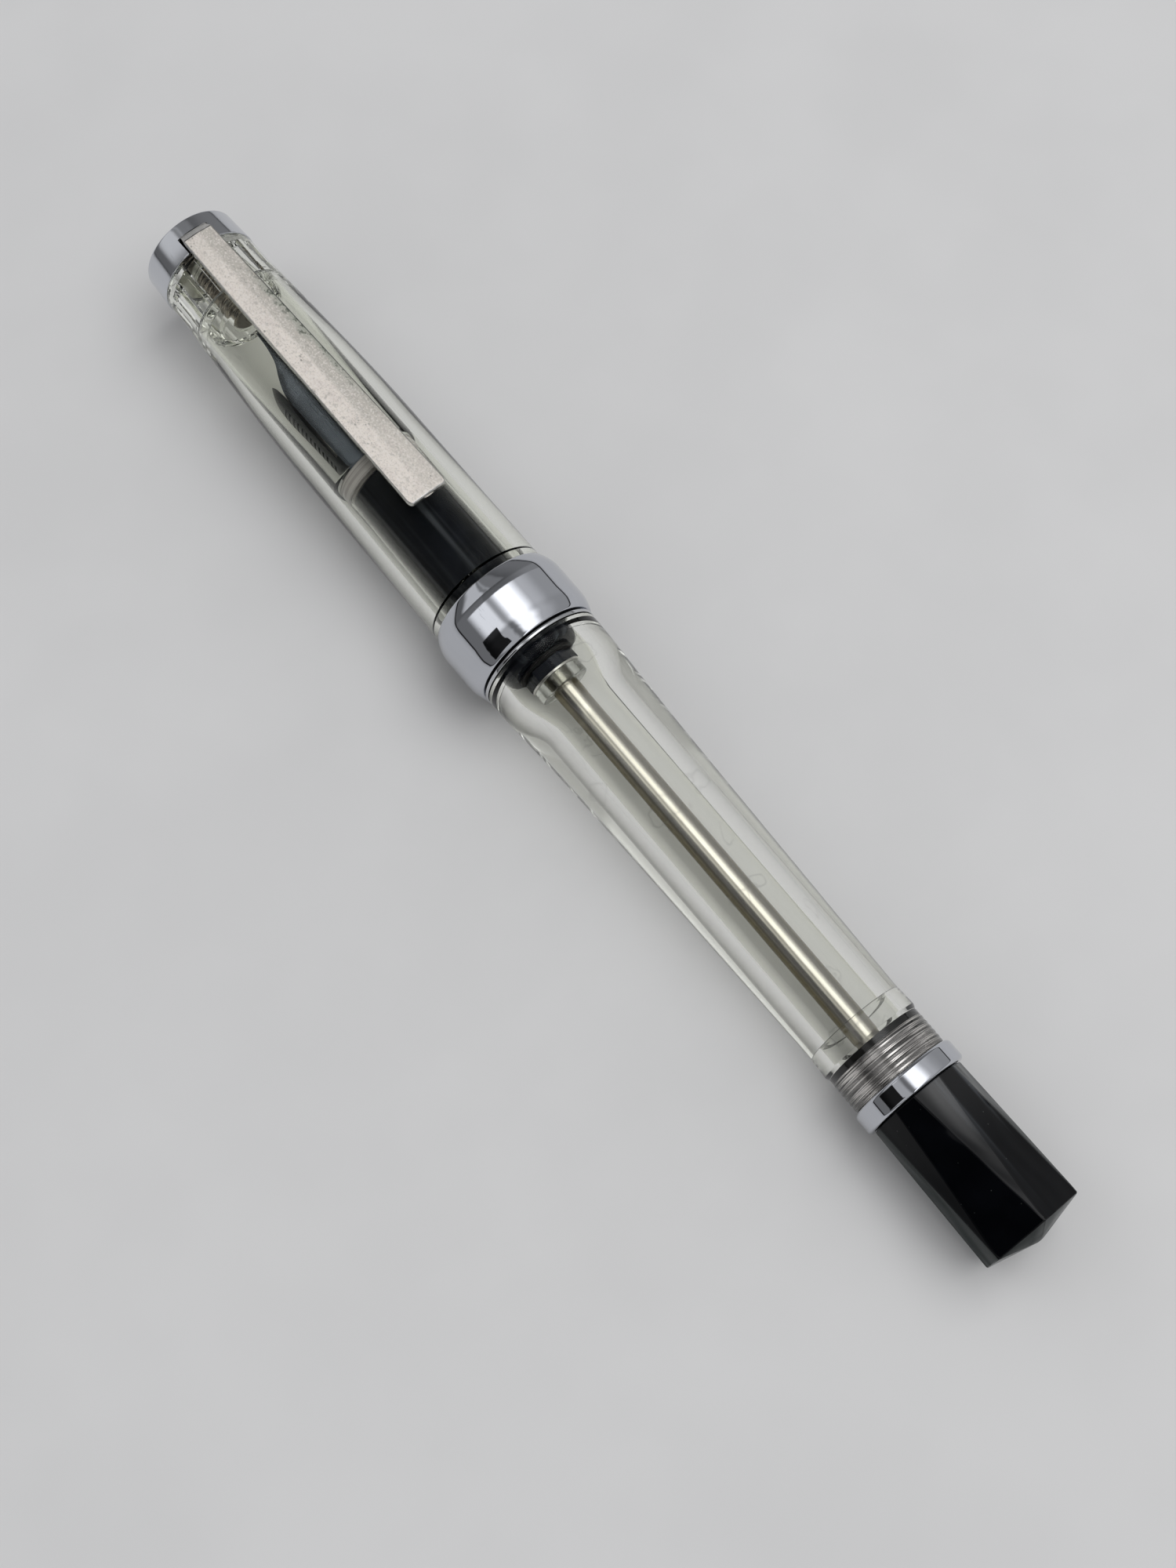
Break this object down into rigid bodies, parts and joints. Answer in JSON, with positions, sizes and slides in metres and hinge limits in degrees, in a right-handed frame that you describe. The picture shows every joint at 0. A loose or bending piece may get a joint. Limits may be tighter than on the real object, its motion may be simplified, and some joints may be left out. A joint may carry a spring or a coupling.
{
  "type": "fountain pen",
  "caption": "Clear fountain pen with a plunger filler, screw cap with metal clip and bright band, and a black faceted filling knob.",
  "frame": {"origin": "on the pen's axis at the middle of the cap band", "axes": "+X along the pen's axis from the cap's crown towards the filling knob; +Z towards the clip"},
  "size_m": [0.1436, 0.0158, 0.017],
  "materials": {
    "clear_cap": "clear polished acrylic, light wear",
    "clear_liner": "clear polished acrylic",
    "clear_barrel": "clear polished acrylic, hair scratches and dried drops",
    "smoky_disc": "translucent grey",
    "bright_chrome": "polished",
    "steel": "turned and polished",
    "nib_steel": "polished",
    "gland_metal": "turned",
    "blasted_metal": "sand-blasted, pitted and stained by wear",
    "black_plastic": "gloss",
    "black_matt_plastic": "satin",
    "black_rubber": "smooth rubber",
    "black_knob": "high gloss"
  },
  "bodies": {
    "barrel": {"barrel_tube": "clear_barrel", "cap_stop_gasket": "black_rubber", "trim_ring": "steel", "trim_gasket": "black_rubber", "section_grip": "clear_barrel", "section_core": "black_plastic", "section_o_ring": "black_rubber", "nib": "nib_steel", "nib_tip": "nib_steel", "feed": "black_matt_plastic", "gland_seal": "black_rubber", "gland_body": "gland_metal", "rod_o_ring": "black_rubber"},
    "cap_liner": {"inner_cap": "clear_liner"},
    "cap": {"cap_shell": "clear_cap", "crown_ring": "bright_chrome", "crown_insert": "bright_chrome", "crown_screw": "steel", "clip_mount": "blasted_metal", "cap_band": "bright_chrome"},
    "clip": {"clip_arm": "blasted_metal"},
    "plunger_head": {"plunger_seal": "black_rubber", "plunger_collar": "black_plastic", "seal_washer": "steel", "seal_backing_disc": "smoky_disc"},
    "knob": {"plunger_rod": "steel", "rod_tip_nut": "steel", "knob_insert": "gland_metal", "knob_ring": "bright_chrome", "knob": "black_knob"}
  },
  "joints": [
    {"name": "cap_pull", "type": "slide", "parent": "barrel", "child": "cap_liner", "axis": [-1, 0, 0], "range_m": [0, 0.075]},
    {"name": "cap_turn", "type": "hinge", "parent": "cap_liner", "child": "cap", "pos_m": [0, 0, 0], "axis": [1, 0, 0], "continuous": true},
    {"name": "clip_flex", "type": "hinge", "parent": "cap", "child": "clip", "pos_m": [-0.05775, 0, 0.0054], "axis": [0, -1, 0], "range_deg": [0, 4], "stiffness_Nm_per_rad": 0.5},
    {"name": "plunger_pull", "type": "slide", "parent": "barrel", "child": "plunger_head", "axis": [1, 0, 0], "range_m": [0, 0.047]},
    {"name": "knob_turn", "type": "hinge", "parent": "plunger_head", "child": "knob", "pos_m": [0.07335, 0, 0], "axis": [1, 0, 0], "continuous": true}
  ]
}
